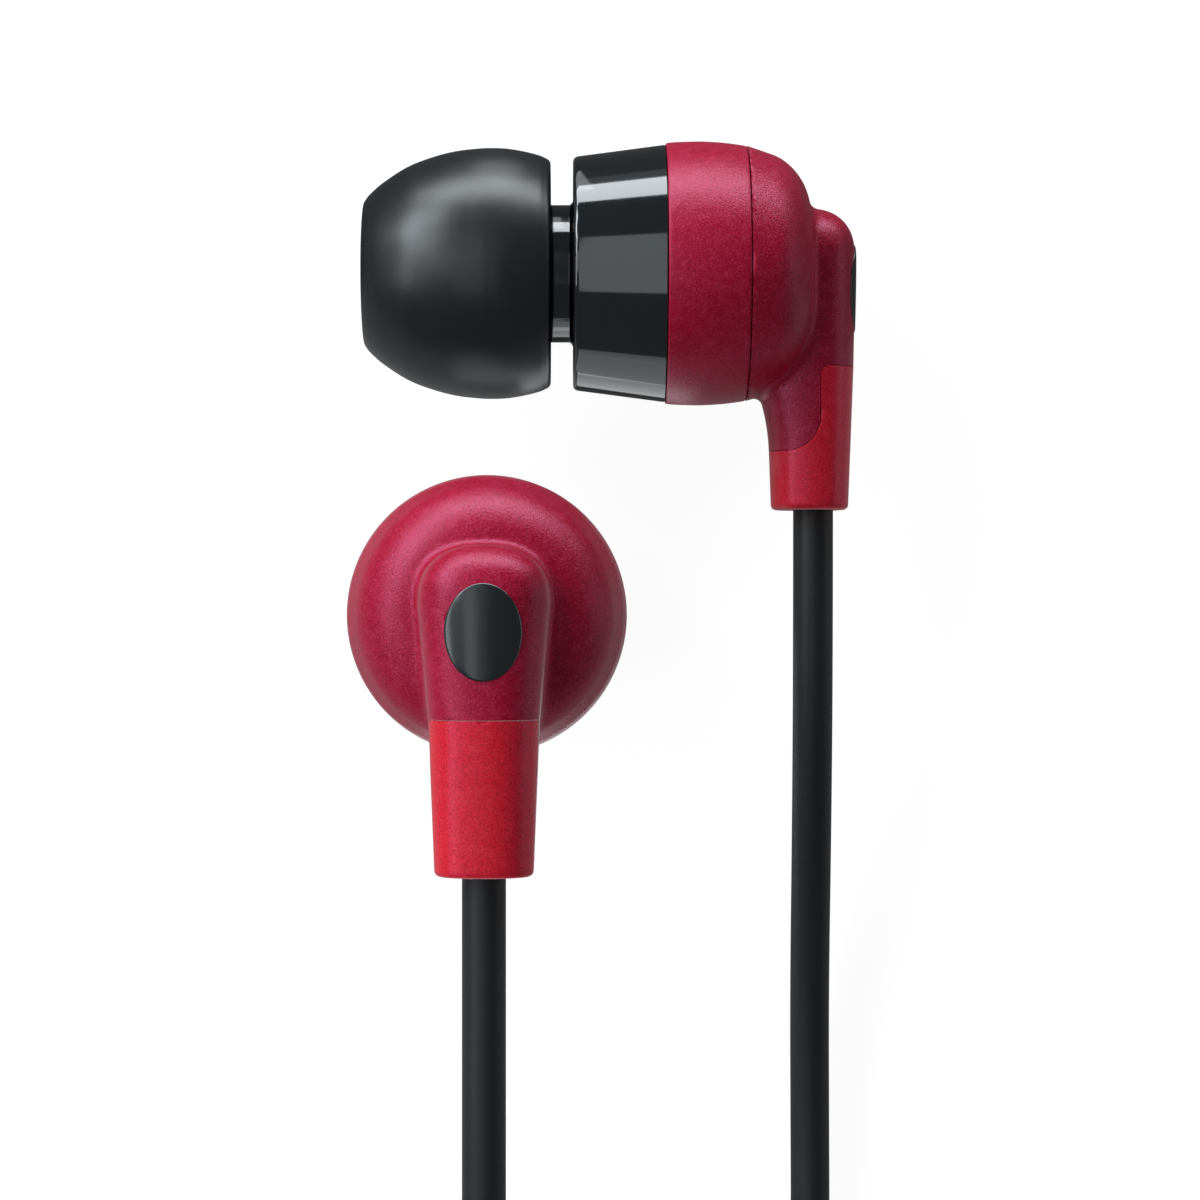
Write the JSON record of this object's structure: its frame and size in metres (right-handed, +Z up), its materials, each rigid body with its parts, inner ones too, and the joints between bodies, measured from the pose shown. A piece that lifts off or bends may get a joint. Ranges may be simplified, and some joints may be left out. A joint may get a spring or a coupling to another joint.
{
  "type": "wired earphones",
  "caption": "Wired in-ear earphones with round two-tone buds, angled stems, a coiled cord, an in-line microphone with a button, and a four-contact plug.",
  "frame": {"origin": "centre of the two buds' footprint, on the surface they lie on", "axes": "+Z up; the stems and the cords point to -Y; the right bud's nozzle points to -X and the left bud's nozzle points down"},
  "size_m": [0.0366, 0.146, 0.0247],
  "materials": {
    "silicone": "satin dark slate grey silicone",
    "gloss_black": "high-gloss black plastic",
    "mesh_steel": "fine woven steel mesh",
    "crimson": "soft-touch crimson, fine-grained satin",
    "badge": "plain gloss black inlay",
    "red_rubber": "brighter red flexible boot, satin",
    "driver_plastic": "moulded driver basket",
    "soft_iron": "zinc-plated soft iron",
    "magnet": "nickel-plated neodymium",
    "film": "thin polyester film",
    "copper": "enamelled copper winding",
    "board_green": "fibreglass circuit board",
    "cable": "smooth black cable jacket, soft sheen",
    "wire": "enamelled litz wire",
    "black_rubber": "matte black rubber",
    "black_plastic": "fine-grained black plastic",
    "button_red": "soft-touch crimson key",
    "tin": "tin-plated steel case",
    "gold": "gold-plated contact",
    "insulator": "black moulded insulator"
  },
  "bodies": {
    "earphones": {"right_front_housing": "gloss_black", "right_nozzle_mesh": "mesh_steel", "right_middle_shell": "crimson", "right_rear_cover": "crimson", "right_badge": "badge", "right_boot": "red_rubber", "right_driver_frame": "driver_plastic", "right_driver_yoke": "soft_iron", "right_driver_magnet": "magnet", "right_driver_top_plate": "soft_iron", "right_driver_terminal_board": "board_green", "right_cable_end": "cable", "right_lead_wires": "wire", "left_front_housing": "gloss_black", "left_nozzle_mesh": "mesh_steel", "left_middle_shell": "crimson", "left_rear_cover": "crimson", "left_badge": "badge", "left_boot": "red_rubber", "left_driver_frame": "driver_plastic", "left_driver_yoke": "soft_iron", "left_driver_magnet": "magnet", "left_driver_top_plate": "soft_iron", "left_driver_terminal_board": "board_green", "left_cable_end": "cable", "left_lead_wires": "wire", "right_branch_upper": "cable", "right_branch_coil": "cable", "right_branch_lower": "cable", "left_branch_upper": "cable", "left_branch_coil": "cable", "left_branch_lower": "cable", "main_cord_upper": "cable", "main_cord_coil": "cable", "main_cord_lower": "cable", "branch_tie_1": "black_rubber", "branch_tie_2": "black_rubber", "main_tie_1": "black_rubber", "main_tie_2": "black_rubber", "junction_front_shell": "black_plastic", "junction_back_shell": "black_plastic", "junction_circuit": "board_green", "junction_switch": "tin", "junction_microphone": "tin", "junction_inlet_relief": "black_rubber", "junction_outlet_relief": "black_rubber", "plug_relief": "black_rubber", "plug_grip": "black_plastic", "plug_sleeve": "gold", "plug_ring_1": "gold", "plug_ring_2": "gold", "plug_insulator": "insulator", "plug_tip": "gold"},
    "right_tip": {"right_ear_tip": "silicone"},
    "left_tip": {"left_ear_tip": "silicone"},
    "right_cone": {"right_driver_diaphragm": "film", "right_driver_voice_coil": "copper"},
    "left_cone": {"left_driver_diaphragm": "film", "left_driver_voice_coil": "copper"},
    "button": {"junction_button": "button_red"}
  },
  "joints": [
    {"name": "right_tip_slide", "type": "slide", "parent": "earphones", "child": "right_tip", "axis": [-1, 0, 0], "range_m": [0, 0.007]},
    {"name": "left_tip_slide", "type": "slide", "parent": "earphones", "child": "left_tip", "axis": [0, 0, -1], "range_m": [0, 0.007]},
    {"name": "right_cone_travel", "type": "slide", "parent": "earphones", "child": "right_cone", "axis": [-1, 0, 0], "range_m": [-0.00015, 0.00015], "stiffness_N_per_m": 100},
    {"name": "left_cone_travel", "type": "slide", "parent": "earphones", "child": "left_cone", "axis": [0, 0, -1], "range_m": [-0.00015, 0.00015], "stiffness_N_per_m": 100},
    {"name": "button_press", "type": "slide", "parent": "earphones", "child": "button", "axis": [0, 0, -1], "range_m": [0, 0.00035], "stiffness_N_per_m": 4000}
  ]
}
